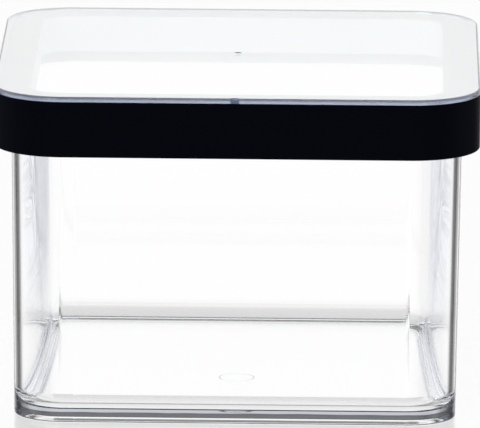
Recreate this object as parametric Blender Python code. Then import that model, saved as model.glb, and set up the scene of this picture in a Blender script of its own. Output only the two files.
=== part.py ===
"""A square storage jar with a flat press-on lid, at its real size in metres.

The jar stands on z = 0 with its centre on the Z axis and its front facing -Y.
Every ring-shaped surface is one cross-section carried round the lid's outline, so a
cross-section is written as points of (inset, height): how far a point lies inside the
lid's outline, and how high it lies above the table.
"""
from math import cos, pi, radians, sin, tan

import bmesh
import bpy

# The whole jar
LID_WIDTH = 0.100
LID_DEPTH = 0.100
LID_CORNER_RADIUS = 0.0144
TOTAL_HEIGHT = 0.069
FIT_GAP = 0.0003

# Clear plate on top of the lid
WINDOW_THICKNESS = 0.0016
FLANGE_THICKNESS = 0.0010
WINDOW_EDGE_RADIUS = 0.0005
TOP_GATE_RADIUS = 0.0009
TOP_GATE_DEPTH = 0.0003
EDGE_GATE_WIDTH = 0.0033
EDGE_GATE_DEPTH = 0.0004
EDGE_GATE_OFFSET = 0.0012

# Black band round the lid
BAND_HEIGHT = 0.0126
BAND_THICKNESS = 0.0012
BAND_EDGE_RADIUS = 0.0005
BAND_LIP_WIDTH = 0.0008
BAND_LIP_HEIGHT = 0.0008

# Pale ring that carries the plug and lines the band
WEB_THICKNESS = 0.0011
OUTER_LEG_THICKNESS = 0.0011
PLUG_LEG_THICKNESS = 0.0011
PLUG_DEPTH = 0.0066
PLUG_EDGE_RADIUS = 0.0004

# Soft ring between the plug ring and the jar's rim
GASKET_THICKNESS = 0.0010
GASKET_LIP_THICKNESS = 0.0005
GASKET_LIP_LENGTH = 0.0025

# Clear jar
BODY_WALL = 0.0017
BODY_FLOOR = 0.0020
BODY_DRAFT = radians(0.75)
FLOOR_FILLET = 0.0030
BOTTOM_EDGE_RADIUS = 0.0004
RIM_BEAD_WIDTH = 0.0007
RIM_BEAD_HEIGHT = 0.0015
RIM_EDGE_RADIUS = 0.0004
FOOT_WIDTH = 0.0040
FOOT_HEIGHT = 0.00055
BASE_MARK_RADIUS = 0.0036
BASE_MARK_GROOVE = 0.0003
BASE_MARK_OFFSET = 0.0100

# How finely round stretches are cut up, and how far a cutter overruns what it cuts
CORNER_STEPS = 8
FILLET_STEPS = 5
EDGE_STEPS = 2
GATE_SIDES = 24
GROOVE_SIDES = 8
CUT_OVERRUN = 0.0010
WELD_DISTANCE = 0.000001

# Directions in a cross-section, as angles from straight inwards
INWARDS = 0.0
UPWARDS = pi / 2
OUTWARDS = pi
DOWNWARDS = 3 * pi / 2

# Heights of the lid's pieces, from the top down
FLANGE_BOTTOM = TOTAL_HEIGHT - FLANGE_THICKNESS
WINDOW_BOTTOM = TOTAL_HEIGHT - WINDOW_THICKNESS
BAND_TOP = FLANGE_BOTTOM - FIT_GAP
BAND_BOTTOM = TOTAL_HEIGHT - BAND_HEIGHT
WEB_TOP = WINDOW_BOTTOM - FIT_GAP
WEB_BOTTOM = WEB_TOP - WEB_THICKNESS
OUTER_LEG_BOTTOM = BAND_BOTTOM + BAND_LIP_HEIGHT + FIT_GAP
PLUG_BOTTOM = WEB_BOTTOM - PLUG_DEPTH
GASKET_TOP = WEB_BOTTOM - FIT_GAP
GASKET_BOTTOM = GASKET_TOP - GASKET_THICKNESS
GASKET_LIP_BOTTOM = GASKET_BOTTOM - GASKET_LIP_LENGTH
RIM_HEIGHT = GASKET_BOTTOM - FIT_GAP

# Insets of the pieces, from the lid's outline inwards
OUTER_LEG_INSET = BAND_THICKNESS + FIT_GAP
CHANNEL_INSET = OUTER_LEG_INSET + OUTER_LEG_THICKNESS
RIM_BEAD_INSET = CHANNEL_INSET + FIT_GAP
BODY_TOP_INSET = RIM_BEAD_INSET + RIM_BEAD_WIDTH


def outer_wall_inset(height):
    """Inset of the jar's outer wall at a height: the wall leans out by its draft."""
    return BODY_TOP_INSET + (RIM_HEIGHT - height) * tan(BODY_DRAFT)


def inner_wall_inset(height):
    """Inset of the jar's inner wall at a height."""
    return outer_wall_inset(height) + BODY_WALL


GASKET_LIP_INSET = inner_wall_inset(GASKET_LIP_BOTTOM) + FIT_GAP
GASKET_INNER_INSET = GASKET_LIP_INSET + GASKET_LIP_THICKNESS
PLUG_OUTER_INSET = GASKET_INNER_INSET + FIT_GAP
PLUG_INNER_INSET = PLUG_OUTER_INSET + PLUG_LEG_THICKNESS


def arc(centre_inset, centre_height, radius, start, end, steps):
    """Points of a round stretch of a cross-section, from one direction to another."""
    angles = [start + (end - start) * step / steps for step in range(steps + 1)]
    return [(centre_inset + radius * cos(angle), centre_height + radius * sin(angle))
            for angle in angles]


def lid_outline():
    """Points of the lid's outline: a rounded rectangle, anticlockwise from its right side."""
    points = []
    corners = ((1, 1), (-1, 1), (-1, -1), (1, -1))
    for quarter, (side_x, side_y) in enumerate(corners):
        centre_x = side_x * (LID_WIDTH / 2 - LID_CORNER_RADIUS)
        centre_y = side_y * (LID_DEPTH / 2 - LID_CORNER_RADIUS)
        for step in range(CORNER_STEPS + 1):
            angle = (quarter + step / CORNER_STEPS) * pi / 2
            points.append((centre_x + LID_CORNER_RADIUS * cos(angle),
                           centre_y + LID_CORNER_RADIUS * sin(angle)))
    return points


def poly_curve(name, points, cyclic):
    """A flat curve through the points, in its own XY plane."""
    curve = bpy.data.curves.new(name, "CURVE")
    curve.dimensions = "2D"
    spline = curve.splines.new("POLY")
    spline.points.add(len(points) - 1)
    for point, (x, y) in zip(spline.points, points):
        point.co = (x, y, 0.0, 1.0)
    spline.use_cyclic_u = cyclic
    obj = bpy.data.objects.new(name, curve)
    bpy.context.scene.collection.objects.link(obj)
    return obj


def principled(name, colour, roughness, transmission=0.0, ior=1.5):
    """A plastic or rubber material of one colour."""
    material = bpy.data.materials.new(name)
    material.use_nodes = True
    shader = material.node_tree.nodes["Principled BSDF"]
    shader.inputs["Base Color"].default_value = (*colour, 1.0)
    shader.inputs["Roughness"].default_value = roughness
    shader.inputs["Metallic"].default_value = 0.0
    shader.inputs["IOR"].default_value = ior
    shader.inputs["Transmission Weight"].default_value = transmission
    material.diffuse_color = (*colour, 1.0)
    return material


def swept_piece(name, section, closed_section, material, collection):
    """Carry a cross-section round the lid's outline and return it as a mesh object.

    A closed section gives a ring. An open one gives a skin whose two round holes,
    at the section's ends, are filled with flat faces.
    """
    path = poly_curve(name + "_path", lid_outline(), True)
    profile = poly_curve(name + "_section", section, closed_section)
    path.data.bevel_mode = "OBJECT"
    path.data.bevel_object = profile
    bpy.context.view_layer.update()
    depsgraph = bpy.context.evaluated_depsgraph_get()
    mesh = bpy.data.meshes.new_from_object(path.evaluated_get(depsgraph))
    mesh.name = name
    bpy.data.objects.remove(path)
    bpy.data.objects.remove(profile)

    skin = bmesh.new()
    skin.from_mesh(mesh)
    bmesh.ops.remove_doubles(skin, verts=skin.verts, dist=WELD_DISTANCE)
    open_edges = [edge for edge in skin.edges if edge.is_boundary]
    if open_edges:
        bmesh.ops.holes_fill(skin, edges=open_edges, sides=0)
    bmesh.ops.recalc_face_normals(skin, faces=skin.faces)
    skin.to_mesh(mesh)
    skin.free()

    mesh.materials.clear()
    mesh.materials.append(material)
    mesh.shade_smooth()
    mesh.set_sharp_from_angle(angle=radians(30))
    obj = bpy.data.objects.new(name, mesh)
    collection.objects.link(obj)
    return obj


def cut(target, cutter, collection):
    """Take a cutter's shape out of a piece, and keep the cutter out of the render."""
    for owner in list(cutter.users_collection):
        owner.objects.unlink(cutter)
    collection.objects.link(cutter)
    cutter.hide_render = True
    cutter.display_type = "WIRE"
    boolean = target.modifiers.new(cutter.name, "BOOLEAN")
    boolean.operation = "DIFFERENCE"
    boolean.solver = "EXACT"
    boolean.object = cutter


def upright_cylinder(name, radius, depth, centre):
    """A cylinder with its axis along Z."""
    bpy.ops.mesh.primitive_cylinder_add(vertices=GATE_SIDES, radius=radius, depth=depth,
                                        location=centre)
    cylinder = bpy.context.object
    cylinder.name = name
    return cylinder


def container_body(collection, cutters):
    """Clear jar: from the floor up the inside, over the rim, down to the foot."""
    fillet_height = BODY_FLOOR + FLOOR_FILLET
    section = arc(inner_wall_inset(fillet_height) + FLOOR_FILLET, fillet_height,
                  FLOOR_FILLET, DOWNWARDS, OUTWARDS, FILLET_STEPS)
    rim_edge_height = RIM_HEIGHT - RIM_EDGE_RADIUS
    section += arc(inner_wall_inset(rim_edge_height) - RIM_EDGE_RADIUS, rim_edge_height,
                   RIM_EDGE_RADIUS, INWARDS, UPWARDS, EDGE_STEPS)
    section += arc(RIM_BEAD_INSET + RIM_EDGE_RADIUS, rim_edge_height,
                   RIM_EDGE_RADIUS, UPWARDS, OUTWARDS, EDGE_STEPS)
    bead_bottom = RIM_HEIGHT - RIM_BEAD_HEIGHT
    bead_root = bead_bottom - RIM_BEAD_WIDTH
    section.append((RIM_BEAD_INSET, bead_bottom))
    section.append((outer_wall_inset(bead_root), bead_root))
    foot_outer_inset = outer_wall_inset(BOTTOM_EDGE_RADIUS) + BOTTOM_EDGE_RADIUS
    section += arc(foot_outer_inset, BOTTOM_EDGE_RADIUS, BOTTOM_EDGE_RADIUS,
                   OUTWARDS, DOWNWARDS, FILLET_STEPS)
    foot_inner_inset = foot_outer_inset + FOOT_WIDTH
    section.append((foot_inner_inset, 0.0))
    section.append((foot_inner_inset + FOOT_HEIGHT, FOOT_HEIGHT))
    clear = principled("clear_body_plastic", (0.97, 0.98, 1.0), 0.02, 1.0, 1.57)
    body = swept_piece("container_body", section, False, clear, collection)

    bpy.ops.mesh.primitive_torus_add(major_radius=BASE_MARK_RADIUS,
                                     minor_radius=BASE_MARK_GROOVE,
                                     major_segments=GATE_SIDES, minor_segments=GROOVE_SIDES,
                                     location=(0.0, -BASE_MARK_OFFSET, FOOT_HEIGHT))
    ring = bpy.context.object
    ring.name = "base_mark_cutter"
    cut(body, ring, cutters)
    return body


def lid_window(collection, cutters):
    """Clear plate with a thin flange over the band and a thicker middle inside it."""
    flange_inset = BAND_THICKNESS + FIT_GAP
    section = arc(WINDOW_EDGE_RADIUS, TOTAL_HEIGHT - WINDOW_EDGE_RADIUS, WINDOW_EDGE_RADIUS,
                  UPWARDS, OUTWARDS, EDGE_STEPS)
    section.append((0.0, FLANGE_BOTTOM))
    section.append((flange_inset, FLANGE_BOTTOM))
    section.append((flange_inset, WINDOW_BOTTOM))
    clear = principled("clear_lid_plastic", (0.97, 0.98, 1.0), 0.02, 1.0, 1.57)
    window = swept_piece("lid_window", section, False, clear, collection)

    top_gate = upright_cylinder("top_gate_cutter", TOP_GATE_RADIUS, 2 * TOP_GATE_DEPTH,
                                (0.0, 0.0, TOTAL_HEIGHT))
    cut(window, top_gate, cutters)

    half_chord = EDGE_GATE_WIDTH / 2
    radius = (half_chord ** 2 + EDGE_GATE_DEPTH ** 2) / (2 * EDGE_GATE_DEPTH)
    front = -LID_DEPTH / 2
    height = FLANGE_THICKNESS + 2 * CUT_OVERRUN
    edge_gate = upright_cylinder(
        "edge_gate_cutter", radius, height,
        (-EDGE_GATE_OFFSET, front + EDGE_GATE_DEPTH - radius,
         FLANGE_BOTTOM + FLANGE_THICKNESS / 2))
    cut(window, edge_gate, cutters)
    return window


def lid_frame(collection):
    """Black band with a rounded lower edge and a small lip under the plug ring's leg."""
    lip_inset = BAND_THICKNESS + BAND_LIP_WIDTH
    lip_top = BAND_BOTTOM + BAND_LIP_HEIGHT
    section = [(0.0, BAND_TOP)]
    section += arc(BAND_EDGE_RADIUS, BAND_BOTTOM + BAND_EDGE_RADIUS, BAND_EDGE_RADIUS,
                   OUTWARDS, DOWNWARDS, EDGE_STEPS)
    section.append((lip_inset, BAND_BOTTOM))
    section.append((lip_inset, lip_top))
    section.append((BAND_THICKNESS, lip_top))
    section.append((BAND_THICKNESS, BAND_TOP))
    black = principled("black_band_plastic", (0.0016, 0.0018, 0.0026), 0.25)
    return swept_piece("lid_frame", section, True, black, collection)


def plug_ring(collection):
    """Pale channel ring: outer leg inside the band, web, and plug leg in the mouth."""
    section = [(OUTER_LEG_INSET, OUTER_LEG_BOTTOM), (CHANNEL_INSET, OUTER_LEG_BOTTOM),
               (CHANNEL_INSET, WEB_BOTTOM), (PLUG_OUTER_INSET, WEB_BOTTOM)]
    edge_height = PLUG_BOTTOM + PLUG_EDGE_RADIUS
    section += arc(PLUG_OUTER_INSET + PLUG_EDGE_RADIUS, edge_height, PLUG_EDGE_RADIUS,
                   OUTWARDS, DOWNWARDS, EDGE_STEPS)
    section += arc(PLUG_INNER_INSET - PLUG_EDGE_RADIUS, edge_height, PLUG_EDGE_RADIUS,
                   DOWNWARDS, DOWNWARDS + pi / 2, EDGE_STEPS)
    section.append((PLUG_INNER_INSET, WEB_TOP))
    section.append((OUTER_LEG_INSET, WEB_TOP))
    pale = principled("pale_ring_plastic", (0.80, 0.83, 0.83), 0.45)
    return swept_piece("plug_ring", section, True, pale, collection)


def seal_gasket(collection):
    """Soft ring: a flat seat over the jar's rim and a thin lip down inside its mouth."""
    section = [(RIM_BEAD_INSET, GASKET_TOP), (RIM_BEAD_INSET, GASKET_BOTTOM),
               (GASKET_LIP_INSET, GASKET_BOTTOM), (GASKET_LIP_INSET, GASKET_LIP_BOTTOM),
               (GASKET_INNER_INSET, GASKET_LIP_BOTTOM), (GASKET_INNER_INSET, GASKET_TOP)]
    soft = principled("soft_seal_rubber", (0.78, 0.80, 0.80), 0.60)
    return swept_piece("seal_gasket", section, True, soft, collection)


def lid_joint(pieces):
    """Carry the lid's pieces on an empty on the line that the lid lifts along."""
    lift = bpy.data.objects.new("lid_lift", None)
    bpy.context.scene.collection.objects.link(lift)
    lift.location = (0.0, 0.0, RIM_HEIGHT)
    bpy.context.view_layer.update()
    for piece in pieces:
        piece.parent = lift
        piece.matrix_parent_inverse = lift.matrix_world.inverted()


def main():
    for obj in list(bpy.data.objects):
        bpy.data.objects.remove(obj)
    jar = bpy.data.collections.new("storage_jar")
    cutters = bpy.data.collections.new("cutters")
    bpy.context.scene.collection.children.link(jar)
    bpy.context.scene.collection.children.link(cutters)
    container_body(jar, cutters)
    lid_joint([lid_window(jar, cutters), lid_frame(jar), plug_ring(jar), seal_gasket(jar)])


main()
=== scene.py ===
# %% [markdown]
# # A clear storage jar with a press-on lid
#
# The real object is a handful of plastic mouldings: a clear jar, and a lid made of a clear
# plate, a black band, a pale channel ring and a soft seal. Almost everything you see is clear
# plastic in front of white, so the picture is drawn by the edges: the thickness of the walls,
# the fillet round the floor and the rim of the lid. That makes exact cross-sections matter more
# than anything else, and they are what most of this lesson builds.

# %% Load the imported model
from math import asin, cos, degrees, pi, radians, sin, tan

import bmesh
import bpy
import numpy as np
from mathutils import Matrix, Vector


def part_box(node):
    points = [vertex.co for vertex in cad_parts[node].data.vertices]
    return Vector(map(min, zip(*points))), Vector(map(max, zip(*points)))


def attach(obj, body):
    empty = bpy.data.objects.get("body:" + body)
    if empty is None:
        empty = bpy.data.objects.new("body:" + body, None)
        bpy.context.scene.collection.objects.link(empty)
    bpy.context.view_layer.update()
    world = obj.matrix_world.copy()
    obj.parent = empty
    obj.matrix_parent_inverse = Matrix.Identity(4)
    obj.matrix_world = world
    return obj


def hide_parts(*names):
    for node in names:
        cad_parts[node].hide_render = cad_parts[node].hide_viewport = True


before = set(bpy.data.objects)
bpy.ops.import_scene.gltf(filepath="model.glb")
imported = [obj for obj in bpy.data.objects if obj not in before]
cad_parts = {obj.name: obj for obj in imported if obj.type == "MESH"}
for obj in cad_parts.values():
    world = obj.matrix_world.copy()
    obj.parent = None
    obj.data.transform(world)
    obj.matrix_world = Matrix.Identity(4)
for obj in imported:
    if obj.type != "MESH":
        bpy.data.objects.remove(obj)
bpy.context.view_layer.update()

MM = 0.001


def in_mm(rows):
    """Rows of metres as rows of rounded millimetres, for the prints."""
    return [[round(float(value) / MM, 2) for value in row] for row in rows]


# %% [markdown]
# ## Where the mouldings lie
#
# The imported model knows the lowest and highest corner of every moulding. Heights and insets are
# read from there, so that the surfaces built here lie exactly where the solids lie. An inset is
# how far a point lies inside the lid's outline, seen from above.

# %% Boxes of the mouldings
plate_low, plate_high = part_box("lid_window")
band_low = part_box("lid_frame")[0]
ring_low, ring_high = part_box("plug_ring")
seal_low, seal_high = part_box("seal_gasket")
jar_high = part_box("container_body")[1]

half_width, half_depth, total_height = plate_high
rim_height = jar_high[2]
print("Lid", round(2 * half_width / MM, 2), "x", round(2 * half_depth / MM, 2), "mm,",
      "total height", round(total_height / MM, 2), "mm, jar", round(rim_height / MM, 2), "mm")

# %% [markdown]
# ## One outline for every ring
#
# Seen from above, each moulding is a rounded square, and all of them share the same four corner
# centres. So the outline is worked out once, as directions, and every ring is that outline
# moved inwards. Columns of points run down the flat sides too: a flat side doesn't need them,
# but the small round marks in the lid and in the base do, because each of their points belongs
# to one column. Guard columns close to the ends of each flat side keep the flats flat when the
# corners are shaded smooth, which clear plastic would betray at once.

# %% The outline as columns
LID_CORNER_RADIUS = 14.4 * MM
CORNER_STEPS = 40
FLAT_GUARD = 1.0 * MM
FLAT_STEPS = 25
FLAT_MARGIN = 2.5 * MM

flat_reach = half_width - LID_CORNER_RADIUS - FLAT_MARGIN
EVEN_PLACES = np.linspace(-flat_reach, flat_reach, FLAT_STEPS)


def outline_columns(front_places, front_dents):
    """Columns of the outline: corner signs, outward directions, shifts and dents, as arrays.

    A corner's directions step evenly through a quarter turn, and its first and last column are
    repeated one guard length into the flats beside it. A flat's columns all point straight out,
    shifted along the flat by their place. A dent is how far a column is pressed inwards.
    """
    signs, outwards, shifts, dents = [], [], [], []
    for quarter, sign in enumerate(((1, 1), (-1, 1), (-1, -1), (1, -1))):
        angle = (quarter + np.linspace(0, 1, CORNER_STEPS + 1)) * pi / 2
        angle = np.concatenate([angle[:1], angle, angle[-1:]])
        outward = np.stack([np.cos(angle), np.sin(angle)], axis=1)
        along = np.stack([-outward[:, 1], outward[:, 0]], axis=1)
        shift = np.zeros_like(outward)
        shift[0], shift[-1] = -FLAT_GUARD * along[0], FLAT_GUARD * along[-1]
        is_front = quarter == 2
        places = front_places if is_front else EVEN_PLACES
        flat_outward = np.tile(outward[-1], (len(places), 1))
        signs += [np.tile(sign, (len(outward), 1)), np.round(flat_outward)]
        outwards += [outward, flat_outward]
        shifts += [shift, places[:, None] * along[-1]]
        dents += [np.zeros(len(outward)), front_dents if is_front else np.zeros(len(places))]
    return [np.concatenate(values) for values in (signs, outwards, shifts, dents)]


PLAIN_OUTLINE = outline_columns(EVEN_PLACES, np.zeros(FLAT_STEPS))
print("Columns in the plain outline:", len(PLAIN_OUTLINE[0]))

# %% [markdown]
# ## Carrying a cross-section round the outline
#
# A cross-section is a list of (inset, height) points. Carrying it round the outline is one array
# sum. A closed cross-section gives a ring. An open one gives a skin with two holes, such as the
# floor of the jar seen from above and from below. Each hole is a flat face with an optional set
# of small circles in it, which make a dimple or a groove, and the last row is filled.

# %% Round stretches of a cross-section
def arc(centre, radius, start, end, steps):
    """Points of a round stretch: centre + radius * (cos, sin) of an evenly stepped angle.

    Angles are in degrees from straight inwards: 90 is up, 180 outwards and 270 down.
    """
    angle = np.radians(np.linspace(start, end, steps + 1))
    return np.stack([centre[0] + radius * np.cos(angle),
                     centre[1] + radius * np.sin(angle)], axis=1)


print("A round edge of 1 mm in two steps, in mm:", in_mm(arc((MM, -MM), MM, 90, 180, 2)))

# %% Rings of points
DENT_REACH = 1.2 * MM


def section_rows(section, outline):
    """Rings of points for a section's rows of (inset, height) or (inset, height, radius).

    Ring = corner sign * (half side - inset - radius) + radius * outward + shift, less the dent
    along outward, which fades out towards the inner rows.
    """
    sign, outward, shift, dent = outline
    inset = section[:, 0, None, None]
    radius = section[:, 2, None, None] if section.shape[1] == 3 else LID_CORNER_RADIUS - inset
    pressed = np.clip(1 - inset / DENT_REACH, 0, 1) * dent[None, :, None] * outward[None]
    flat = (sign[None] * (np.array([half_width, half_depth]) - inset - radius)
            + radius * outward[None] + shift[None] - pressed)
    height = np.broadcast_to(section[:, 1, None, None], flat.shape[:2] + (1,))
    return np.concatenate([flat, height], axis=2)


top_edge = section_rows(np.array([(0.0, total_height)]), PLAIN_OUTLINE)[0]
print("The lid's top edge:", len(top_edge), "points, the first at", in_mm(top_edge[:1]), "mm")


# %% Small circles inside a cap
def circle_rows(edge_row, circles):
    """Rings of points for circles (x, y, radius, height) that lie inside a cap.

    Point = centre + radius * (cos a, sin a), where a is the direction from the centre to the
    cap's edge point in the same column.
    """
    circles = np.asarray(circles, dtype=float)
    centre, radius = circles[:, None, :2], circles[:, None, 2:3]
    away = edge_row[None, :, :2] - centre
    angle = np.arctan2(away[..., 1], away[..., 0])
    flat = centre + radius * np.stack([np.cos(angle), np.sin(angle)], axis=-1)
    height = np.broadcast_to(circles[:, None, 3:4], flat.shape[:2] + (1,))
    return np.concatenate([flat, height], axis=2)


small_circle = circle_rows(top_edge, [(0.0, 0.0, MM, total_height)])[0]
print("A circle of 1 mm inside it:", len(small_circle), "points, the first at",
      in_mm(small_circle[:1]), "mm")


# %% From rows of points to a mesh
def grid_mesh(name, grid, closed):
    """A mesh of rows of points. Quads join each row to the next, all the way round.

    The last row of a closed grid joins the first, and an open grid gets a cap at each end.
    """
    rows, columns = grid.shape[:2]
    row = np.arange(rows if closed else rows - 1)[:, None]
    column = np.arange(columns)[None, :]
    next_row, next_column = (row + 1) % rows, (column + 1) % columns
    quads = np.stack([row * columns + column, row * columns + next_column,
                      next_row * columns + next_column, next_row * columns + column],
                     axis=-1).reshape(-1, 4)
    cap = np.arange(columns)
    caps = [] if closed else [cap.tolist(), (cap + (rows - 1) * columns).tolist()]
    mesh = bpy.data.meshes.new(name)
    mesh.from_pydata(grid.reshape(-1, 3).tolist(), [], quads.tolist() + caps)
    mesh.update()
    return mesh


def swept_mesh(name, section, closed, outline=None, first_circles=(), last_circles=()):
    """A mesh of the section carried round the jar, with circles inside its first or last cap."""
    grid = section_rows(np.asarray(section, dtype=float), outline or PLAIN_OUTLINE)
    if len(first_circles):
        grid = np.concatenate([circle_rows(grid[0], first_circles)[::-1], grid])
    if len(last_circles):
        grid = np.concatenate([grid, circle_rows(grid[-1], last_circles)])
    return grid_mesh(name, grid, closed)


# %% From a mesh to a finished piece
SMOOTH_ANGLE = radians(24)


def finish_piece(mesh, material, body, node):
    """Make an object of the mesh, faces outwards and round parts smooth, in place of a node."""
    shape = bmesh.new()
    shape.from_mesh(mesh)
    bmesh.ops.recalc_face_normals(shape, faces=shape.faces)
    volume = shape.calc_volume(signed=True)
    shape.to_mesh(mesh)
    shape.free()
    mesh.materials.append(material)
    mesh.shade_smooth()
    mesh.set_sharp_from_angle(angle=SMOOTH_ANGLE)
    piece = bpy.data.objects.new(mesh.name, mesh)
    bpy.context.scene.collection.objects.link(piece)
    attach(piece, body)
    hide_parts(node)
    print(piece.name, len(mesh.polygons), "faces,", round(volume / MM ** 3 / 1000, 2), "cm3")


# %% [markdown]
# ## Helpers for materials
#
# One helper adds a node with its settings and links, and one function turns an sRGB hex value
# into the linear colour that a shader expects. Patterns read Object coordinates, which here are
# metres from the middle of the jar's footprint, so a pattern's scale is simply one over the real
# size of its blotches.

# %% Colours
def linear(hex_colour):
    """Linear red, green, blue and 1 for an sRGB hex value: the sRGB curve taken backwards."""
    values = [int(hex_colour[place:place + 2], 16) / 255 for place in (1, 3, 5)]
    return [value / 12.92 if value <= 0.04045 else ((value + 0.055) / 1.055) ** 2.4
            for value in values] + [1.0]


print("Grey #808080 in linear light:", round(linear("#808080")[0], 3))


# %% Nodes
def add_node(tree, kind, settings=None, inputs=None, stops=None):
    """Add a node. Settings are its attributes; inputs are numbers, colours or sockets; stops
    are a colour ramp's (place, grey level) pairs, in rising order."""
    node = tree.nodes.new(kind)
    for key, value in (settings or {}).items():
        setattr(node, key, value)
    for key, value in (inputs or {}).items():
        if isinstance(value, bpy.types.NodeSocket):
            tree.links.new(value, node.inputs[key])
        else:
            node.inputs[key].default_value = value
    if stops:
        marks = node.color_ramp.elements
        marks.remove(marks[1])
        for number, (place, level) in enumerate(stops):
            mark = marks[0] if number == 0 else marks.new(place)
            mark.position, mark.color = place, (level, level, level, 1)
    return node


# %% Materials and patterns
def new_material(name):
    """An empty node material and its tree."""
    material = bpy.data.materials.new(name)
    material.use_nodes = True
    material.node_tree.nodes.clear()
    return material, material.node_tree


def noise_pattern(tree, blotch, detail):
    """Soft noise from 0 to 1 whose blotches are about this many metres across."""
    place = add_node(tree, "ShaderNodeTexCoord").outputs["Object"]
    noise = add_node(tree, "ShaderNodeTexNoise", inputs={
        "Vector": place, "Scale": 1 / blotch, "Detail": detail})
    return noise.outputs["Fac"]


def bumped(tree, pattern, height):
    """A normal for a surface whose pattern stands this many metres high."""
    return add_node(tree, "ShaderNodeBump", inputs={
        "Height": pattern, "Distance": height, "Strength": 1.0}).outputs["Normal"]


# %% [markdown]
# ## Clear SAN
#
# Clear kitchen jars like this are moulded from SAN, styrene-acrylonitrile: as clear as glass,
# with an index of refraction of 1.57, polished because the steel mould is polished. It gives the
# eye two things. Edges seen end-on are dark or bright lines, because light is led round inside
# the wall. And it has a very faint tint that only shows over a long path, such as along the
# floor or the lid plate, so the colour belongs to the volume and not to the surface. The jar's
# tint is blue, and the plate's is a greyer blue and a little stronger. The mould leaves shallow
# waves a few micrometres high and about a centimetre apart, which make the lines in the corners
# swim a little. The flat lid plate has the shallower ones.

# %% The clear plastics
SAN_IOR = 1.57
SAN_WAVE_LENGTH = 11 * MM
JAR_TINT = linear("#0082ff")
JAR_TINT_DENSITY = 1.2
JAR_WAVE_HEIGHT = 0.004 * MM
PLATE_TINT = linear("#336cc1")
PLATE_TINT_DENSITY = 3.0
PLATE_WAVE_HEIGHT = 0.002 * MM


def clear_san(name, tint, density, wave_height):
    """Polished clear SAN. The tint is what the volume lets pass, density per metre."""
    material, tree = new_material(name)
    waves = noise_pattern(tree, SAN_WAVE_LENGTH, 1.0)
    shader = add_node(tree, "ShaderNodeBsdfPrincipled", inputs={
        "Base Color": (1, 1, 1, 1), "Roughness": 0.0, "IOR": SAN_IOR,
        "Transmission Weight": 1.0, "Normal": bumped(tree, waves, wave_height)})
    absorption = add_node(tree, "ShaderNodeVolumeAbsorption", inputs={
        "Color": tint, "Density": density})
    add_node(tree, "ShaderNodeOutputMaterial", inputs={
        "Surface": shader.outputs[0], "Volume": absorption.outputs[0]})
    return material


jar_san = clear_san("clear_moulded_san_jar", JAR_TINT, JAR_TINT_DENSITY, JAR_WAVE_HEIGHT)
plate_san = clear_san("clear_moulded_san_lid", PLATE_TINT, PLATE_TINT_DENSITY,
                      PLATE_WAVE_HEIGHT)
print("Materials:", jar_san.name, plate_san.name)

# %% [markdown]
# ## The jar
#
# The jar is one moulding: floor, fillet, slightly leaning walls, a bead round the rim, and a
# narrow foot under the edge, from which the underside slopes up a little so that the jar can't
# rock. Its cross-section runs from the floor up the inside, over the rim, down the outside and
# under the foot. The inner corners are a touch blunter than the outer ones, which is what the
# dark lines in the corners show. Guard points beside each bend keep its neighbours flat. The
# mould's gate leaves a small ring in the base.

# %% The jar's walls
JAR_WALL = 1.7 * MM
JAR_DRAFT = radians(0.75)
BEAD_WIDTH = 0.7 * MM

bead_inset = half_width - jar_high[0]
wall_top_inset = bead_inset + BEAD_WIDTH


def outer_wall(height):
    """Inset of the outer wall: the wall leans out by its draft as it rises."""
    return wall_top_inset + (rim_height - height) * tan(JAR_DRAFT)


def inner_wall(height):
    """Inset of the inner wall."""
    return outer_wall(height) + JAR_WALL


print("The outer wall's inset at the rim and at the table, in mm:",
      in_mm([[outer_wall(rim_height), outer_wall(0.0)]]))

# %% The inside, from the floor to the rim
JAR_FLOOR = 2.11 * MM
FLOOR_FILLET = 3.68 * MM
FILLET_STEPS = 24
RIM_EDGE = 0.4 * MM
CAP_GUARD = 0.3 * MM


def jar_inside():
    """From the floor's edge up the fillet and the inner wall to the rim's inner edge."""
    fillet_top = JAR_FLOOR + FLOOR_FILLET
    fillet_inset = inner_wall(fillet_top) + FLOOR_FILLET
    edge_height = rim_height - RIM_EDGE
    return np.concatenate([
        [(fillet_inset + CAP_GUARD, JAR_FLOOR)],
        arc((fillet_inset, fillet_top), FLOOR_FILLET, 270, 180, FILLET_STEPS),
        [(inner_wall(fillet_top + CAP_GUARD), fillet_top + CAP_GUARD),
         (inner_wall(edge_height), edge_height)]])


inside = jar_inside()
print("Points up the inside:", len(inside))

# %% The outside, from the rim to the foot
BEAD_HEIGHT = 1.5 * MM
RIM_STEPS = 6
BOTTOM_EDGE = 0.4 * MM
EDGE_STEPS = 10
FOOT_WIDTH = 0.32 * MM
FOOT_HEIGHT = 0.76 * MM
FOOT_RUN = 2.53 * MM
FOOT_GUARD = 0.1 * MM
FOOT_EASE = 0.04


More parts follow.
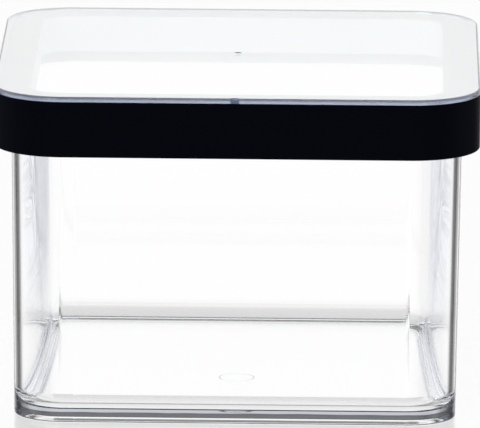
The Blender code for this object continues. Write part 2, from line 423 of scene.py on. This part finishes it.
def jar_outside():
    """From the rim over the bead, down the outer wall, round the edge and under the foot."""
    edge_height = rim_height - RIM_EDGE
    bead_bottom = rim_height - BEAD_HEIGHT
    bead_root = bead_bottom - BEAD_WIDTH
    foot_outer = outer_wall(BOTTOM_EDGE) + BOTTOM_EDGE
    foot_inner = foot_outer + FOOT_WIDTH
    rim_inner = inner_wall(edge_height) - RIM_EDGE
    return np.concatenate([
        arc((rim_inner, edge_height), RIM_EDGE, 0, 90, RIM_STEPS)[1:],
        arc((bead_inset + RIM_EDGE, edge_height), RIM_EDGE, 90, 180, RIM_STEPS),
        [(bead_inset, bead_bottom), (outer_wall(bead_root), bead_root),
         (outer_wall(BOTTOM_EDGE + CAP_GUARD), BOTTOM_EDGE + CAP_GUARD)],
        arc((foot_outer, BOTTOM_EDGE), BOTTOM_EDGE, 180, 270, EDGE_STEPS),
        [(foot_outer + FOOT_GUARD, 0.0), (foot_inner - FOOT_GUARD, 0.0), (foot_inner, 0.0),
         (foot_inner + FOOT_EASE * FOOT_RUN, FOOT_EASE * FOOT_HEIGHT),
         (foot_inner + (1 - FOOT_EASE) * FOOT_RUN, (1 - FOOT_EASE) * FOOT_HEIGHT),
         (foot_inner + FOOT_RUN, FOOT_HEIGHT),
         (foot_inner + FOOT_RUN + CAP_GUARD, FOOT_HEIGHT)]])


outside = jar_outside()
print("Points down the outside:", len(outside))

# %% The jar's whole cross-section
INNER_BLUNTER = 0.5 * MM

jar_section = np.concatenate([
    np.column_stack([inside, LID_CORNER_RADIUS - inside[:, 0] + INNER_BLUNTER]),
    np.column_stack([outside, LID_CORNER_RADIUS - outside[:, 0]])])
print("Points in the jar's section:", len(jar_section))

# %% The ring in the base, and the jar
BASE_MARK_RADIUS = 3.6 * MM
BASE_MARK_GROOVE = 0.16 * MM
BASE_MARK_Y = -10.0 * MM
MARK_GUARD = 0.1 * MM

groove = arc((BASE_MARK_RADIUS, FOOT_HEIGHT), BASE_MARK_GROOVE, 0, 180, EDGE_STEPS)
groove_edge = BASE_MARK_GROOVE + MARK_GUARD
groove = np.concatenate([[(BASE_MARK_RADIUS + groove_edge, FOOT_HEIGHT)], groove,
                         [(BASE_MARK_RADIUS - groove_edge, FOOT_HEIGHT)]])
base_circles = [(0.0, BASE_MARK_Y, radius, height) for radius, height in groove]

finish_piece(swept_mesh("jar_body", jar_section, False, last_circles=base_circles),
             jar_san, "container", "container_body")

# %% [markdown]
# ## The lid's clear plate
#
# The plate is a flat SAN moulding with a thin flange over the band and a thicker middle. Its
# polished edge is the thin bright line above the black band. It was filled through the middle,
# which leaves a small dimple. In the middle of its front edge, in a small notch, stands the stub
# of a second gate. It was sheared off, so its surface is rough and scatters light instead of
# leading it through. The dull dark spot that this leaves in the bright edge is painted shade: the
# stub is given a dark grey-blue colour.

# %% The notch in the plate's front edge
NOTCH_WIDTH = 1.8 * MM
NOTCH_DEPTH = 0.75 * MM
NOTCH_X = -0.25 * MM
NOTCH_STEPS = 14


def notched_front():
    """Places and dents of the front flat's columns, with a small round notch.

    Dent = sqrt(r2 - d2) - (r - depth) at a distance d from the notch's middle, where r is the
    radius of the circle through the notch's ends and its deepest point.
    """
    half = NOTCH_WIDTH / 2
    radius = (half ** 2 + NOTCH_DEPTH ** 2) / (2 * NOTCH_DEPTH)
    across = np.linspace(-half, half, NOTCH_STEPS + 1)
    dents = np.sqrt(radius ** 2 - across ** 2) - (radius - NOTCH_DEPTH)
    clear = EVEN_PLACES[np.abs(EVEN_PLACES - NOTCH_X) > half + MARK_GUARD]
    places = np.concatenate([clear, NOTCH_X + across])
    order = np.argsort(places)
    return places[order], np.concatenate([np.zeros(len(clear)), dents])[order]


notched_outline = outline_columns(*notched_front())
print("Columns in the notched outline:", len(notched_outline[0]))

# %% The plate's cross-section
PLATE_EDGE = 0.5 * MM
FLANGE = 1.0 * MM
BAND_THICKNESS = 1.2 * MM
FIT_GAP = 0.3 * MM


def plate_section():
    """From the top's edge over the rounded rim, under the flange and round the middle."""
    flange_inset = BAND_THICKNESS + FIT_GAP
    flange_bottom = total_height - FLANGE
    return np.concatenate([
        [(PLATE_EDGE + CAP_GUARD, total_height)],
        arc((PLATE_EDGE, total_height - PLATE_EDGE), PLATE_EDGE, 90, 180, EDGE_STEPS),
        [(0.0, flange_bottom), (flange_inset, flange_bottom), (flange_inset, plate_low[2]),
         (flange_inset + CAP_GUARD, plate_low[2])]])


print("Points in the plate's section:", len(plate_section()))

# %% The plate, with the dimple in its middle
TOP_GATE_RADIUS = 0.7 * MM
TOP_GATE_DEPTH = 0.12 * MM
TOP_GATE_X = -0.3 * MM
DISH_STEPS = 6

dish = np.linspace(0, 1, DISH_STEPS + 1)
gate_circles = [(TOP_GATE_X, 0.0, TOP_GATE_RADIUS + MARK_GUARD, total_height)] + [
    (TOP_GATE_X, 0.0, TOP_GATE_RADIUS * cos(step * pi / 2) + MARK_GUARD / 2,
     total_height - TOP_GATE_DEPTH * sin(step * pi / 2)) for step in dish]
finish_piece(swept_mesh("lid_plate", plate_section(), False, notched_outline,
                        first_circles=gate_circles),
             plate_san, "lid", "lid_window")

# %% Sheared SAN, coloured dark as painted shade
STUB_GRAIN = 0.35 * MM
STUB_GRAIN_HEIGHT = 0.03 * MM

sheared_san_painted_shade, tree = new_material("sheared_matt_san_painted_shade")
grain = noise_pattern(tree, STUB_GRAIN, 3.0)
# Painted shade: these two dark grey-blues stand in for the light that the stub doesn't lead
# through; the grain only varies them at random.
tone = add_node(tree, "ShaderNodeMix", {"data_type": "RGBA"}, {
    "Factor": grain, "A": linear("#4c5674"), "B": linear("#66708f")})
shader = add_node(tree, "ShaderNodeBsdfPrincipled", inputs={
    "Base Color": tone.outputs["Result"], "Roughness": 0.7, "IOR": SAN_IOR,
    "Specular IOR Level": 0.1, "Normal": bumped(tree, grain, STUB_GRAIN_HEIGHT)})
add_node(tree, "ShaderNodeOutputMaterial", inputs={"Surface": shader.outputs[0]})
print(sheared_san_painted_shade.name, len(tree.nodes), "nodes")

# %% The stub of the gate in the plate's front edge
STUB_HEIGHT = 0.7 * MM
STUB_EDGE = 0.12 * MM
STUB_CLEARANCE = 0.04 * MM
STUB_STEPS = 16
STUB_EDGE_STEPS = 4


def stub_mesh():
    """A lens-shaped post: its outline shrinks over a rounded top edge, row by row.

    Outline = straight along the front, then the notch's round line back, less the clearance.
    """
    half = NOTCH_WIDTH / 2 - STUB_CLEARANCE
    depth = NOTCH_DEPTH - 2 * STUB_CLEARANCE
    radius = (half ** 2 + depth ** 2) / (2 * depth)
    across = np.linspace(-half, half, STUB_STEPS + 1)
    back = np.sqrt(radius ** 2 - across ** 2) - (radius - depth)
    outline = np.concatenate([np.stack([across, np.zeros_like(across)], axis=1),
                              np.stack([across, back], axis=1)[-2:0:-1]])
    middle = np.array([0.0, depth / 2])
    turn = np.radians(np.linspace(0, 90, STUB_EDGE_STEPS + 1))
    shrink = np.concatenate([[0.0], STUB_EDGE * (1 - np.cos(turn))])
    height = np.concatenate([[0.0], STUB_HEIGHT - STUB_EDGE * (1 - np.sin(turn))])
    away = outline - middle
    away_length = np.linalg.norm(away, axis=1, keepdims=True)
    flat = middle + away[None] * (1 - shrink[:, None, None] / away_length[None])
    flat = flat + np.array([NOTCH_X, STUB_CLEARANCE - half_depth])
    level = (total_height - FLANGE + height)[:, None, None]
    level = np.broadcast_to(level, flat.shape[:2] + (1,))
    return grid_mesh("gate_stub", np.concatenate([flat, level], axis=2), False)


finish_piece(stub_mesh(), sheared_san_painted_shade, "lid", "lid_window")

# %% [markdown]
# ## The black band
#
# The band is ABS dyed black right through and moulded against finely textured steel. ABS black
# is a very dark colour with a slightly blue cast, and the fine grain, well under a tenth of a
# millimetre on the real one, breaks up any reflection, so it stays black under a white sky. The
# grain is drawn at 0.3 mm so that it can show at all. Near its top the band is thinned to a
# narrow shelf, because the border seen through the plate is pale right to its edge.

# %% Textured black ABS
ABS_IOR = 1.54
ABS_GRAIN = 0.3 * MM
ABS_GRAIN_HEIGHT = 0.006 * MM

black_abs, tree = new_material("textured_black_abs")
grain = noise_pattern(tree, ABS_GRAIN, 2.0)
shade = add_node(tree, "ShaderNodeMix", {"data_type": "RGBA"}, {
    "Factor": grain, "A": linear("#03040a"), "B": linear("#05070e")})
rough = add_node(tree, "ShaderNodeMapRange", inputs={
    "Value": grain, "To Min": 0.38, "To Max": 0.52})
shader = add_node(tree, "ShaderNodeBsdfPrincipled", inputs={
    "Base Color": shade.outputs["Result"], "Roughness": rough.outputs[0], "IOR": ABS_IOR,
    "Specular IOR Level": 0.01, "Normal": bumped(tree, grain, ABS_GRAIN_HEIGHT)})
add_node(tree, "ShaderNodeOutputMaterial", inputs={"Surface": shader.outputs[0]})
print(black_abs.name, len(tree.nodes), "nodes")

# %% The band
BAND_EDGE = 0.5 * MM
BAND_EDGE_STEPS = 8
BAND_LIP_WIDTH = 0.8 * MM
BAND_LIP_HEIGHT = 0.8 * MM
BAND_TOP_THICKNESS = 0.12 * MM
CONTACT = 0.02 * MM

band_top = total_height - FLANGE - CONTACT
shelf_height = ring_high[2]


def band_section():
    """Outer face, rounded lower edge, lip that the pale ring hooks over, inner face, and the
    shelf near the top that the pale ring's edge lies on."""
    bottom = band_low[2]
    lip = BAND_THICKNESS + BAND_LIP_WIDTH
    return np.concatenate([
        [(0.0, band_top), (0.0, bottom + BAND_EDGE + CAP_GUARD)],
        arc((BAND_EDGE, bottom + BAND_EDGE), BAND_EDGE, 180, 270, BAND_EDGE_STEPS),
        [(lip, bottom), (lip, bottom + BAND_LIP_HEIGHT),
         (BAND_THICKNESS, bottom + BAND_LIP_HEIGHT), (BAND_THICKNESS, shelf_height),
         (BAND_TOP_THICKNESS, shelf_height), (BAND_TOP_THICKNESS, band_top)]])


finish_piece(swept_mesh("lid_band", band_section(), True), black_abs,
             "lid", "lid_frame")

# %% [markdown]
# ## The pale ring
#
# The ring is natural polypropylene: milky, because light scatters inside it, and slightly matt.
# It shows as the pale border under the plate, and as the pale skirt that goes down into the
# jar's mouth. Its outer leg lines the band and hooks over the band's lip, and its raised edge
# covers the band's shelf, so that nothing black shows through the plate. Its whiteness is a
# little uneven, in soft clouds about a centimetre across, where the melt cooled unevenly.

# %% Milky polypropylene
PP_IOR = 1.49
PP_CLOUD = 12 * MM
PP_GRAIN = 0.4 * MM
PP_GRAIN_HEIGHT = 0.004 * MM

milky_pp, tree = new_material("milky_natural_polypropylene")
clouds = noise_pattern(tree, PP_CLOUD, 2.0)
whiteness = add_node(tree, "ShaderNodeMix", {"data_type": "RGBA"}, {
    "Factor": clouds, "A": linear("#eef3f4"), "B": linear("#f8fbfb")})
shader = add_node(tree, "ShaderNodeBsdfPrincipled", inputs={
    "Base Color": whiteness.outputs["Result"], "Roughness": 0.45, "IOR": PP_IOR,
    "Specular IOR Level": 0.3,
    "Normal": bumped(tree, noise_pattern(tree, PP_GRAIN, 2.0), PP_GRAIN_HEIGHT)})
add_node(tree, "ShaderNodeOutputMaterial", inputs={"Surface": shader.outputs[0]})
print(milky_pp.name, len(tree.nodes), "nodes")

# %% Where the ring's legs and web lie
RING_LEG = 1.1 * MM
RING_WEB = 1.1 * MM
PLUG_DEPTH = 6.6 * MM
SEAL_LIP = 0.5 * MM

ring_outer = half_width - ring_high[0]
ring_channel = ring_outer + RING_LEG
seal_lip_outer = inner_wall(seal_low[2]) + FIT_GAP
plug_outer = seal_lip_outer + SEAL_LIP + FIT_GAP
plug_inner = plug_outer + RING_LEG
web_top = ring_high[2]
web_bottom = web_top - RING_WEB
leg_bottom = ring_low[2]
plug_bottom = web_bottom - PLUG_DEPTH
print("Outer leg insets", round(ring_outer / MM, 2), "to", round(ring_channel / MM, 2),
      "mm, plug skirt", round(plug_outer / MM, 2), "to", round(plug_inner / MM, 2), "mm")

# %% The ring
RING_EDGE = 0.4 * MM
RING_EDGE_STEPS = 6


def ring_section():
    """Outer leg with a hook over the band's lip, underside of the web, rounded plug skirt, the
    web's top, and the raised edge that runs out over the band's shelf."""
    edge_height = plug_bottom + RING_EDGE
    hook_outer = BAND_THICKNESS + BAND_LIP_WIDTH + CONTACT
    hook_bottom = band_low[2] + CONTACT
    raised_inner = BAND_THICKNESS + FIT_GAP - CONTACT
    raised_outer = BAND_TOP_THICKNESS + CONTACT
    return np.concatenate([
        [(ring_outer, leg_bottom), (hook_outer, leg_bottom), (hook_outer, hook_bottom),
         (ring_channel, hook_bottom), (ring_channel, web_bottom), (plug_outer, web_bottom)],
        arc((plug_outer + RING_EDGE, edge_height), RING_EDGE, 180, 270, RING_EDGE_STEPS),
        arc((plug_inner - RING_EDGE, edge_height), RING_EDGE, 270, 360, RING_EDGE_STEPS),
        [(plug_inner, web_top), (raised_inner, web_top), (raised_inner, band_top),
         (raised_outer, band_top), (raised_outer, shelf_height + CONTACT),
         (ring_outer, shelf_height + CONTACT)]])


finish_piece(swept_mesh("plug_channel", ring_section(), True), milky_pp,
             "lid", "plug_ring")

# %% [markdown]
# ## The soft seal
#
# A seal of translucent silicone lies in the ring's channel: a flat seat that rests over the
# jar's rim, and a thin lip that goes down inside the mouth. Silicone moulded in a blasted tool
# is matt with a soft sheen at grazing angles.

# %% Matt silicone
SILICONE_IOR = 1.41
SILICONE_BLOOM = 2.5 * MM
SILICONE_BLOOM_HEIGHT = 0.01 * MM

silicone, tree = new_material("matt_moulded_silicone")
bloom = noise_pattern(tree, SILICONE_BLOOM, 3.0)
tone = add_node(tree, "ShaderNodeMix", {"data_type": "RGBA"}, {
    "Factor": bloom, "A": linear("#dfe3e3"), "B": linear("#eceeed")})
shader = add_node(tree, "ShaderNodeBsdfPrincipled", inputs={
    "Base Color": tone.outputs["Result"], "Roughness": 0.6, "IOR": SILICONE_IOR,
    "Sheen Weight": 0.1, "Normal": bumped(tree, bloom, SILICONE_BLOOM_HEIGHT)})
add_node(tree, "ShaderNodeOutputMaterial", inputs={"Surface": shader.outputs[0]})
print(silicone.name, len(tree.nodes), "nodes")

# %% The seal
SEAL_SEAT = 1.0 * MM
SEAL_EDGE = 0.15 * MM
SEAL_EDGE_STEPS = 4


def seal_section():
    """Seat with rounded outer edges, then the lip down inside the mouth."""
    outer = half_width - seal_high[0]
    top, seat_bottom, lip_bottom = seal_high[2], seal_high[2] - SEAL_SEAT, seal_low[2]
    inner = seal_lip_outer + SEAL_LIP
    steps = SEAL_EDGE_STEPS
    return np.concatenate([
        arc((outer + SEAL_EDGE, top - SEAL_EDGE), SEAL_EDGE, 90, 180, steps),
        arc((outer + SEAL_EDGE, seat_bottom + SEAL_EDGE), SEAL_EDGE, 180, 270, steps),
        [(seal_lip_outer, seat_bottom)],
        arc((seal_lip_outer + SEAL_EDGE, lip_bottom + SEAL_EDGE), SEAL_EDGE, 180, 270, steps),
        arc((inner - SEAL_EDGE, lip_bottom + SEAL_EDGE), SEAL_EDGE, 270, 360, steps),
        [(inner, top)]])


finish_piece(swept_mesh("rim_seal", seal_section(), True), silicone,
             "lid", "seal_gasket")

# %% [markdown]
# ## The camera
#
# The photograph was taken from far away with a long lens, a little above the jar and almost
# square to its front. The numbers come from fitting the outlines of the lid and the jar.

# %% Camera
LENS = 739.5
SENSOR = 36.0
DISTANCE = 2.066
ELEVATION = radians(11.83)
AZIMUTH = radians(-0.747)
ROLL = radians(0.423)
AIM = Vector((0.33, 0.0, 34.6)) * MM
NEAREST, FARTHEST = 0.01, 20.0

camera_data = bpy.data.cameras.new("camera")
camera = bpy.data.objects.new("camera", camera_data)
bpy.context.scene.collection.objects.link(camera)
bpy.context.scene.camera = camera
camera_data.lens = LENS
camera_data.sensor_width = SENSOR
camera_data.clip_start, camera_data.clip_end = NEAREST, FARTHEST

forward = Vector((sin(AZIMUTH) * cos(ELEVATION), cos(AZIMUTH) * cos(ELEVATION),
                  -sin(ELEVATION)))
level_right = Vector((cos(AZIMUTH), -sin(AZIMUTH), 0.0))
level_up = level_right.cross(forward)
right = level_right * cos(ROLL) + level_up * sin(ROLL)
up = level_up * cos(ROLL) - level_right * sin(ROLL)
turned = Matrix((right, up, -forward)).transposed().to_4x4()
camera.matrix_world = Matrix.Translation(AIM - forward * DISTANCE) @ turned
print("Camera at", [round(value, 3) for value in camera.matrix_world.translation])

# %% [markdown]
# ## The table
#
# The jar stands on a white, glossy acrylic table that is lit until it is pure white. The camera
# sees the table as mostly its own white, so that the shadow stays faint, with a clear reflection
# of the jar in it. What the jar's walls bend into view is the table close by: white under the
# jar, dark in the crack right beside the foot, and in a soft shade that fades within about two
# and a half centimetres round it. That shade is given by the distance from the square of the
# four corner centres, because light that is bent through the jar can't be gathered well by the
# renderer.

# %% Distance from the foot
FLOOR_HALF = 1500 * MM
FLOOR_DROP = 0.02 * MM
SHADE_REACH = 50 * MM
SHADE_STOPS = ((0.0, 0.99), (0.10, 0.98), (0.165, 0.92), (0.176, 0.42), (0.184, 0.42),
               (0.205, 0.74), (0.29, 0.77), (0.36, 0.92), (0.50, 0.97), (0.70, 1.0))

floor_mesh = bpy.data.meshes.new("floor")
floor_corners = [(-FLOOR_HALF, -FLOOR_HALF, -FLOOR_DROP), (FLOOR_HALF, -FLOOR_HALF, -FLOOR_DROP),
                 (FLOOR_HALF, FLOOR_HALF, -FLOOR_DROP), (-FLOOR_HALF, FLOOR_HALF, -FLOOR_DROP)]
floor_mesh.from_pydata(floor_corners, [], [(0, 1, 2, 3)])
floor = bpy.data.objects.new("floor", floor_mesh)
bpy.context.scene.collection.objects.link(floor)

corner_centre = half_width - LID_CORNER_RADIUS
foot_share = (LID_CORNER_RADIUS - outer_wall(BOTTOM_EDGE) - BOTTOM_EDGE) / SHADE_REACH
print("The foot's outline lies at", round(foot_share, 3), "of the shade's reach")

# %% The shade round the foot
acrylic, tree = new_material("white_acrylic_table")
place = add_node(tree, "ShaderNodeTexCoord").outputs["Object"]
folded = add_node(tree, "ShaderNodeVectorMath", {"operation": "ABSOLUTE"}, {0: place})
past = add_node(tree, "ShaderNodeVectorMath", {"operation": "SUBTRACT"}, {
    0: folded.outputs[0], 1: (corner_centre, corner_centre, 1.0)})
beyond = add_node(tree, "ShaderNodeVectorMath", {"operation": "MAXIMUM"}, {
    0: past.outputs[0], 1: (0, 0, 0)})
reach = add_node(tree, "ShaderNodeVectorMath", {"operation": "LENGTH"}, {0: beyond.outputs[0]})
reach_share = add_node(tree, "ShaderNodeMapRange", inputs={
    "Value": reach.outputs["Value"], "From Min": 0.0, "From Max": SHADE_REACH})
shade = add_node(tree, "ShaderNodeValToRGB", inputs={0: reach_share.outputs[0]},
                 stops=SHADE_STOPS)
print("Shade from", SHADE_STOPS[0], "to", SHADE_STOPS[-1], "of", round(SHADE_REACH / MM), "mm")

# %% The table's own white and gloss
ACRYLIC_IOR = 1.49
ACRYLIC_ROUGHNESS = 0.05
OWN_WHITE = 0.8

path = add_node(tree, "ShaderNodeLightPath")
matt = add_node(tree, "ShaderNodeBsdfDiffuse", inputs={"Color": (0.9, 0.9, 0.9, 1)})
glow = add_node(tree, "ShaderNodeEmission", inputs={"Color": (1, 1, 1, 1), "Strength": 1.0})
white = add_node(tree, "ShaderNodeMixShader", inputs={
    0: OWN_WHITE, 1: matt.outputs[0], 2: glow.outputs[0]})
gloss = add_node(tree, "ShaderNodeBsdfGlossy", inputs={
    "Color": (1, 1, 1, 1), "Roughness": ACRYLIC_ROUGHNESS})
fresnel = add_node(tree, "ShaderNodeFresnel", inputs={"IOR": ACRYLIC_IOR})
seen = add_node(tree, "ShaderNodeMixShader", inputs={
    0: fresnel.outputs[0], 1: white.outputs[0], 2: gloss.outputs[0]})
print("Share of the table's white that is its own:", OWN_WHITE)

# %% What bent and mirrored rays see of the table
shaded_white = add_node(tree, "ShaderNodeEmission", inputs={
    "Color": shade.outputs[0], "Strength": 1.0})
shaded_clear = add_node(tree, "ShaderNodeBsdfTransparent", inputs={0: shade.outputs[0]})
mirrored = add_node(tree, "ShaderNodeMath", {"operation": "GREATER_THAN"}, {
    0: path.outputs["Glossy Depth"], 1: 0.5})
bent = add_node(tree, "ShaderNodeMixShader", inputs={
    0: mirrored.outputs[0], 1: shaded_white.outputs[0], 2: shaded_clear.outputs[0]})
scattered = add_node(tree, "ShaderNodeMath", {"operation": "GREATER_THAN"}, {
    0: path.outputs["Diffuse Depth"], 1: 0.5})
plain_view = add_node(tree, "ShaderNodeMath", {"operation": "MAXIMUM"}, {
    0: path.outputs["Is Camera Ray"], 1: scattered.outputs[0]})
table_shader = add_node(tree, "ShaderNodeMixShader", inputs={
    0: plain_view.outputs[0], 1: bent.outputs[0], 2: seen.outputs[0]})
add_node(tree, "ShaderNodeOutputMaterial", inputs={"Surface": table_shader.outputs[0]})
floor_mesh.materials.append(acrylic)
print(acrylic.name, len(tree.nodes), "nodes")

# %% [markdown]
# ## The studio
#
# Clear plastic is photographed against a bright panel with the rest of the studio darker, so
# that rounded edges draw dark lines. Here the world is that studio. Whatever is seen straight,
# or bent through a wall, is the white background. A mirrored ray sees a white panel on each of
# the four sides, which fades towards the diagonals and ends at the panels' top edge, about 13
# degrees up. Light that is led round inside the first wall sees it end a little lower, and is
# worn away after six to sixteen bounces, because each bounce in real plastic loses a little:
# that draws the dark line along the top of the plate's front edge. Light that has come through
# other walls first is evened out: it sees no diagonals, and where it is led round, the panels
# reach 19 to 26 degrees. The table and the lid's flat top mirror plain white, so that neither
# turns grey from any side. Scattered light comes almost evenly from everywhere, a little less
# from above, at a level at which a colour renders as it is written.
#
# A direction is described by two numbers: its rise, which is the sine of its angle over the
# horizon, and its turn from the nearest of the four sides, seen from above.

# %% Directions in the studio
world = bpy.data.worlds.new("studio")
bpy.context.scene.world = world
world.use_nodes = True
tree = world.node_tree
tree.nodes.clear()
path = add_node(tree, "ShaderNodeLightPath")
direction = add_node(tree, "ShaderNodeTexCoord").outputs["Generated"]
folded = add_node(tree, "ShaderNodeVectorMath", {"operation": "ABSOLUTE"}, {0: direction})
side = add_node(tree, "ShaderNodeSeparateXYZ", inputs={0: folded.outputs[0]})
rise = add_node(tree, "ShaderNodeSeparateXYZ", inputs={0: direction}).outputs["Z"]
level = add_node(tree, "ShaderNodeVectorMath", {"operation": "MULTIPLY"}, {
    0: direction, 1: (1, 1, 0)})
level_length = add_node(tree, "ShaderNodeVectorMath", {"operation": "LENGTH"}, {
    0: level.outputs[0]})
nearest = add_node(tree, "ShaderNodeMath", {"operation": "MAXIMUM"}, {
    0: side.outputs["X"], 1: side.outputs["Y"]})
cosine = add_node(tree, "ShaderNodeMath", {"operation": "DIVIDE"}, {
    0: nearest.outputs[0], 1: level_length.outputs["Value"]})
turn = add_node(tree, "ShaderNodeMath", {"operation": "ARCCOSINE"}, {0: cosine.outputs[0]})
print("Nodes for a direction:", len(tree.nodes))

# %% How white the panels are, by turn and by rise
TURN_STOPS = ((0.0, 1.0), (0.52, 1.0), (0.64, 0.58), (0.76, 0.42), (0.82, 0.35), (0.87, 0.18),
              (0.92, 0.08))
BELOW = ((0.0, 0.9), (0.45, 1.0))
MIRRORED_ONCE = BELOW + ((0.613, 1.0), (0.622, 0.25), (0.66, 0.15), (0.82, 0.06))
LED_IN_FIRST = BELOW + ((0.600, 1.0), (0.606, 0.22), (0.66, 0.15), (0.82, 0.06))
LED_IN_LATER = BELOW + ((0.66, 0.95), (0.72, 0.15), (0.82, 0.06))

turn_share = add_node(tree, "ShaderNodeMapRange", inputs={
    "Value": turn.outputs[0], "From Min": 0.0, "From Max": pi / 4})
rise_share = add_node(tree, "ShaderNodeMapRange", inputs={
    "Value": rise, "From Min": -1.0, "From Max": 1.0})
panel, once, in_first, in_later = [
    add_node(tree, "ShaderNodeValToRGB", inputs={0: share.outputs[0]}, stops=stops)
    for share, stops in ((turn_share, TURN_STOPS), (rise_share, MIRRORED_ONCE),
                         (rise_share, LED_IN_FIRST), (rise_share, LED_IN_LATER))]
top_edges = [stops[2][0] * 2 - 1 for stops in (MIRRORED_ONCE, LED_IN_FIRST, LED_IN_LATER)]
print("The panels' top edge, in degrees:", [round(degrees(asin(edge))) for edge in top_edges])

# %% Light that is mirrored once, or led round inside
STEEP, LESS_STEEP = -0.75, -0.35
BOUNCES_KEPT, BOUNCES_WORN = 6.0, 16.0

led = add_node(tree, "ShaderNodeMath", {"operation": "GREATER_THAN"}, {
    0: path.outputs["Glossy Depth"], 1: 1.5})
past_walls = add_node(tree, "ShaderNodeMath", {"operation": "GREATER_THAN"}, {
    0: path.outputs["Transmission Depth"], 1: 2.5})
led_height = add_node(tree, "ShaderNodeMix", {"data_type": "RGBA"}, {
    "Factor": past_walls.outputs[0], "A": in_first.outputs[0], "B": in_later.outputs[0]})
height = add_node(tree, "ShaderNodeMix", {"data_type": "RGBA"}, {
    "Factor": led.outputs[0], "A": once.outputs[0], "B": led_height.outputs["Result"]})
grazing = add_node(tree, "ShaderNodeMapRange", inputs={
    "Value": rise, "From Min": STEEP, "From Max": LESS_STEEP})
sideways = add_node(tree, "ShaderNodeMix", {"data_type": "FLOAT"}, {
    0: grazing.outputs[0], 2: 1.0, 3: panel.outputs[0]})
worn = add_node(tree, "ShaderNodeMapRange", inputs={
    "Value": path.outputs["Glossy Depth"], "From Min": BOUNCES_KEPT, "From Max": BOUNCES_WORN,
    "To Min": 1.0, "To Max": 0.0})
first_wall = add_node(tree, "ShaderNodeMath", {"operation": "MULTIPLY"}, {
    0: sideways.outputs[0], 1: worn.outputs[0]})
left_over = add_node(tree, "ShaderNodeMix", {"data_type": "FLOAT"}, {
    0: past_walls.outputs[0], 2: first_wall.outputs[0], 3: 1.0})
panels = add_node(tree, "ShaderNodeMath", {"operation": "MULTIPLY"}, {
    0: left_over.outputs[0], 1: height.outputs["Result"]})
print("Led light is worn away between", BOUNCES_KEPT, "and", BOUNCES_WORN, "bounces")

# %% Which rays see the panels, and even light for scattered ones
LIGHT_FROM_BELOW, LIGHT_FROM_ABOVE = 1.0, 0.82

mirrored = add_node(tree, "ShaderNodeMath", {"operation": "GREATER_THAN"}, {
    0: path.outputs["Glossy Depth"], 1: 0.5})
led_inside = add_node(tree, "ShaderNodeMath", {"operation": "GREATER_THAN"}, {
    0: path.outputs["Transmission Depth"], 1: 0.5})
falling = add_node(tree, "ShaderNodeMath", {"operation": "LESS_THAN"}, {0: rise, 1: 0.0})
off_plastic = add_node(tree, "ShaderNodeMath", {"operation": "MAXIMUM"}, {
    0: led_inside.outputs[0], 1: falling.outputs[0]})
sees_panels = add_node(tree, "ShaderNodeMath", {"operation": "MULTIPLY"}, {
    0: mirrored.outputs[0], 1: off_plastic.outputs[0]})
sharp_view = add_node(tree, "ShaderNodeMix", {"data_type": "FLOAT"}, {
    0: sees_panels.outputs[0], 2: 1.0, 3: panels.outputs[0]})
scattered = add_node(tree, "ShaderNodeMath", {"operation": "GREATER_THAN"}, {
    0: path.outputs["Diffuse Depth"], 1: 0.5})
even = add_node(tree, "ShaderNodeMapRange", inputs={
    "Value": rise, "From Min": -1.0, "From Max": 1.0,
    "To Min": LIGHT_FROM_BELOW, "To Max": LIGHT_FROM_ABOVE})
strength = add_node(tree, "ShaderNodeMix", {"data_type": "FLOAT"}, {
    0: scattered.outputs[0], 2: sharp_view.outputs[0], 3: even.outputs[0]})
background = add_node(tree, "ShaderNodeBackground", inputs={
    "Color": (1, 1, 1, 1), "Strength": strength.outputs[0]})
add_node(tree, "ShaderNodeOutputWorld", inputs={"Surface": background.outputs[0]})
print(world.name, len(tree.nodes), "nodes")

# %% A soft key lamp, in front on the left
LAMP_WATTS = 1.5
LAMP_SIZE = 0.6
LAMP_PLACE = Vector((-0.45, -0.9, 0.45))
LAMP_AIM = Vector((0.0, 0.0, 0.03))

lamp_data = bpy.data.lights.new("key", "AREA")
lamp_data.energy, lamp_data.size = LAMP_WATTS, LAMP_SIZE
lamp = bpy.data.objects.new("key", lamp_data)
lamp.location = LAMP_PLACE
lamp.rotation_euler = (LAMP_AIM - LAMP_PLACE).to_track_quat("-Z", "Y").to_euler()
bpy.context.scene.collection.objects.link(lamp)
print("Lamp", LAMP_WATTS, "W at", [round(value, 2) for value in LAMP_PLACE])

# %% [markdown]
# ## Light led inside the plastic
#
# Light that enters an edge can bounce dozens of times inside a wall before it gets out. Cycles
# stops counting after a few bounces unless it is told not to, and every lost ray is a false dark
# streak, so the limits are raised. Filter Glossy would blur what scattered light sees through
# the plate and darken the pale ring under it, so it is off.

# %% Bounces
BOUNCES = 128
scene = bpy.context.scene
scene.view_settings.view_transform = "Standard"
scene.cycles.max_bounces = BOUNCES
scene.cycles.glossy_bounces = BOUNCES
scene.cycles.transmission_bounces = BOUNCES
scene.cycles.blur_glossy = 0.0
print("Bounces", BOUNCES)
